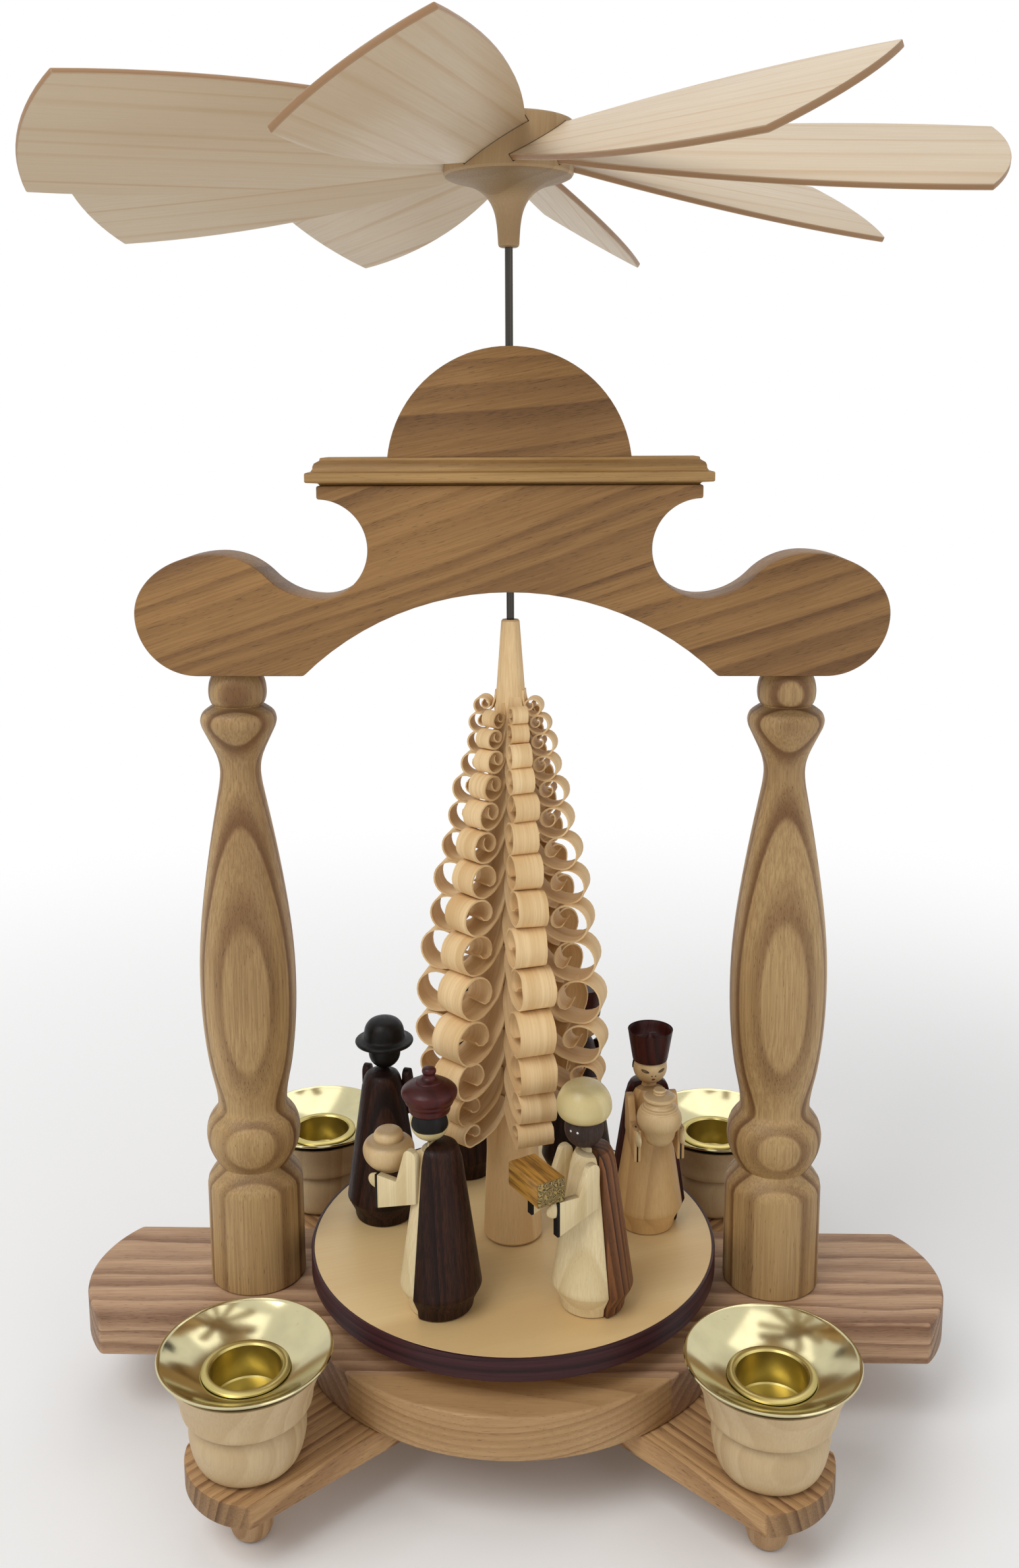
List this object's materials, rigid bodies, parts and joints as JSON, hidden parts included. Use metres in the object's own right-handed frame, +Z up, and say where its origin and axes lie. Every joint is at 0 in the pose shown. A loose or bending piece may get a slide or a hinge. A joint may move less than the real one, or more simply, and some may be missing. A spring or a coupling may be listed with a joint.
{
  "type": "christmas pyramid",
  "caption": "Candle-driven turntable: an arched wooden frame with candle cups on crossed arms, a slatted fan on an upright shaft, and carved figures round a curled-shaving tree.",
  "frame": {"origin": "on the floor under the upright shaft, which is the middle of the base", "axes": "+Z up along the shaft, +X across the front to the right, +Y to the back"},
  "size_m": [0.2386, 0.2322, 0.345],
  "materials": {
    "ash": "ash boards and turnings under a thin satin lacquer",
    "lime_wood": "pale close-grained lime wood, bare or thinly lacquered",
    "maple": "pale maple, satin",
    "dark_veneer": "thin dark red-brown veneer, satin",
    "walnut": "very dark walnut, satin",
    "padouk": "dark red turned wood, lightly polished",
    "black_wood": "black turned wood, polished",
    "ivory_wood": "ivory-coloured turned wood, lightly polished",
    "golden_burr": "golden-brown burr, satin",
    "brass": "spun and drawn brass, brightly polished with fine turning lines",
    "steel": "drawn steel rod, bright"
  },
  "bodies": {
    "stand": {"base_plate": "ash", "cross_arm_lower": "ash", "cross_arm_upper": "ash", "foot_front_left": "ash", "foot_front_right": "ash", "foot_back_left": "ash", "foot_back_right": "ash", "candle_cup_front_left": "lime_wood", "candle_cup_front_right": "lime_wood", "candle_cup_back_left": "lime_wood", "candle_cup_back_right": "lime_wood", "drip_pan_front_left": "brass", "drip_pan_front_right": "brass", "drip_pan_back_left": "brass", "drip_pan_back_right": "brass", "candle_socket_front_left": "brass", "candle_socket_front_right": "brass", "candle_socket_back_left": "brass", "candle_socket_back_right": "brass", "column_left": "ash", "column_right": "ash", "arch_board": "ash", "cornice_moulding": "ash", "top_block": "ash", "bottom_bearing": "brass", "guide_bush": "brass"},
    "rotor": {"shaft": "steel", "turntable": "maple", "turntable_edge_band": "dark_veneer", "shaving_tree": "lime_wood", "fan_hub": "lime_wood", "fan_blade_1": "maple", "fan_blade_2": "maple", "fan_blade_3": "maple", "fan_blade_4": "maple", "fan_blade_5": "maple", "fan_blade_6": "maple", "fan_blade_7": "maple", "fan_blade_8": "maple", "turban_king_robe": "maple", "turban_king_cloak": "walnut", "turban_king_head": "ivory_wood", "turban_king_hat": "padouk", "turban_king_gift": "lime_wood", "cap_king_robe": "maple", "cap_king_cloak": "walnut", "cap_king_head": "black_wood", "cap_king_hat": "ivory_wood", "cap_king_gift": "golden_burr", "fez_king_robe": "maple", "fez_king_cloak": "padouk", "fez_king_head": "lime_wood", "fez_king_hat": "padouk", "fez_king_gift": "lime_wood", "bowler_attendant_body": "walnut", "bowler_attendant_head": "black_wood", "rear_right_attendant_body": "walnut", "rear_right_attendant_head": "black_wood", "rear_left_attendant_body": "walnut", "rear_left_attendant_head": "black_wood"}
  },
  "joints": [
    {"name": "rotor_spin", "type": "hinge", "parent": "stand", "child": "rotor", "pos_m": [0, 0, 0.04], "axis": [0, 0, 1], "continuous": true}
  ]
}
